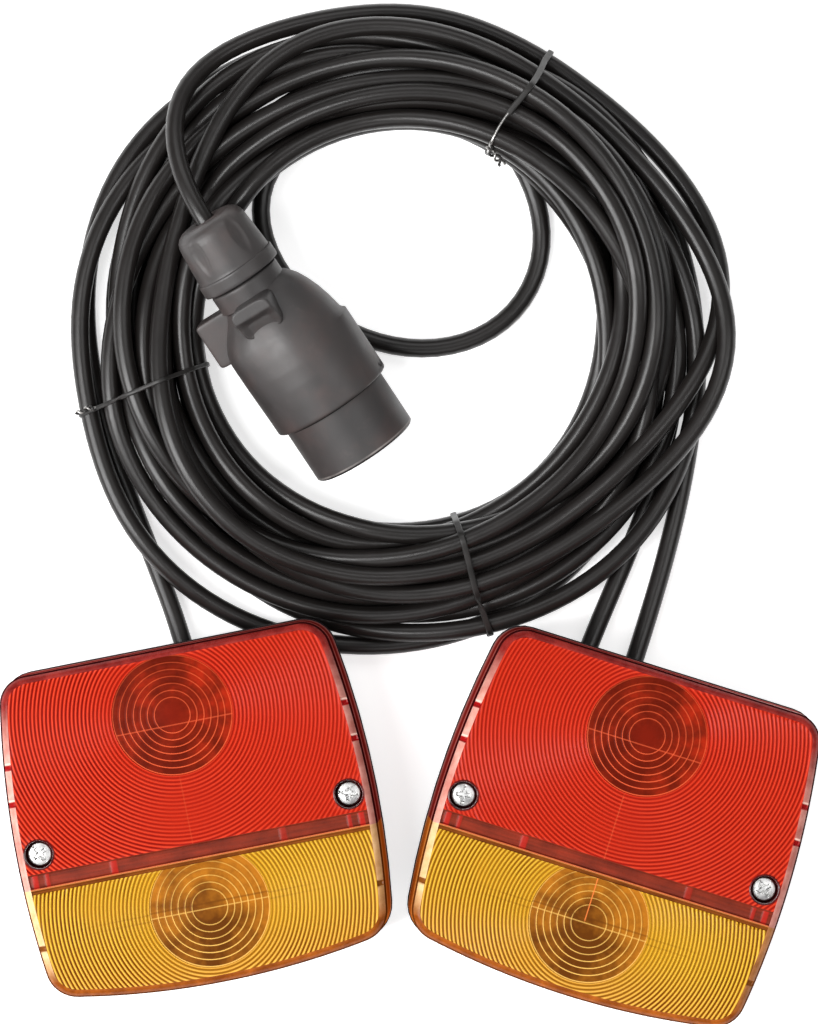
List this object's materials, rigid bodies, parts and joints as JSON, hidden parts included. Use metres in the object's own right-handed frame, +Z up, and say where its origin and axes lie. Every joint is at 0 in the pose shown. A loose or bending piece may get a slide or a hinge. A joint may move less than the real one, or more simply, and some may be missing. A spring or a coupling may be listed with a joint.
{
  "type": "trailer light kit",
  "caption": "Pair of flat-backed trailer rear lamps with ribbed red and amber lenses, joined by a long coiled cable that ends in a round seven-way plug with a gland nut.",
  "frame": {"origin": "floor point under the centre of the two lamps' common box, lamps on their backs", "axes": "+Z up through the lens faces, +X from the left to the right lamp, +Y from the lamps towards the coiled cable and plug"},
  "size_m": [0.2695, 0.3403, 0.0546],
  "materials": {
    "housing_black": "moulded black plastic, fine grain",
    "seal_rubber": "black rubber",
    "lens_red": "ribbed clear red plastic, glossy",
    "lens_amber": "ribbed clear amber plastic, glossy",
    "zinc_steel": "bright zinc-plated steel",
    "reflector_bright": "bright pressed sheet",
    "baffle_plastic": "moulded plastic",
    "bulb_glass": "clear glass",
    "bulb_cap": "nickel-plated brass",
    "socket_steel": "zinc-plated sheet",
    "contact_brass": "brass",
    "terminal_plastic": "off-white plastic",
    "core_insulation": "core insulation, several colours",
    "plug_plastic": "dark warm grey moulded plastic, satin",
    "cable_pvc": "smooth black cable sheath, satin gloss",
    "tie_plastic": "black coated wire tie"
  },
  "bodies": {
    "root": {"left_base": "housing_black", "left_gasket": "seal_rubber", "left_red_lens": "lens_red", "left_amber_lens": "lens_amber", "left_lens_screws": "zinc_steel", "left_reflector": "reflector_bright", "left_divider": "baffle_plastic", "left_tail_bulb_glass": "bulb_glass", "left_tail_bulb_cap": "bulb_cap", "left_indicator_bulb_glass": "bulb_glass", "left_indicator_bulb_cap": "bulb_cap", "left_tail_socket": "socket_steel", "left_indicator_socket": "socket_steel", "left_contact_plates": "contact_brass", "left_socket_rivets": "zinc_steel", "left_terminal_block": "terminal_plastic", "left_small_screws": "zinc_steel", "left_inner_wires": "core_insulation", "left_grommet": "seal_rubber", "left_cable_clamp": "baffle_plastic", "right_base": "housing_black", "right_gasket": "seal_rubber", "right_red_lens": "lens_red", "right_amber_lens": "lens_amber", "right_lens_screws": "zinc_steel", "right_reflector": "reflector_bright", "right_divider": "baffle_plastic", "right_tail_bulb_glass": "bulb_glass", "right_tail_bulb_cap": "bulb_cap", "right_indicator_bulb_glass": "bulb_glass", "right_indicator_bulb_cap": "bulb_cap", "right_tail_socket": "socket_steel", "right_indicator_socket": "socket_steel", "right_contact_plates": "contact_brass", "right_socket_rivets": "zinc_steel", "right_terminal_block": "terminal_plastic", "right_small_screws": "zinc_steel", "right_inner_wires": "core_insulation", "right_grommets": "seal_rubber", "right_cable_clamp": "baffle_plastic", "plug_shell": "plug_plastic", "plug_front": "plug_plastic", "plug_carrier": "baffle_plastic", "plug_pins": "contact_brass", "plug_pin_screws": "zinc_steel", "plug_body_screw": "zinc_steel", "plug_gland_nut": "plug_plastic", "plug_gland_bush": "seal_rubber", "plug_core_wires": "core_insulation", "cable_coil": "cable_pvc", "plug_lead": "cable_pvc", "inner_loop": "cable_pvc", "left_lamp_lead": "cable_pvc", "right_lamp_lead_in": "cable_pvc", "right_lamp_lead_out": "cable_pvc", "upper_tie": "tie_plastic", "left_tie": "tie_plastic", "lower_tie": "tie_plastic"}
  },
  "joints": []
}
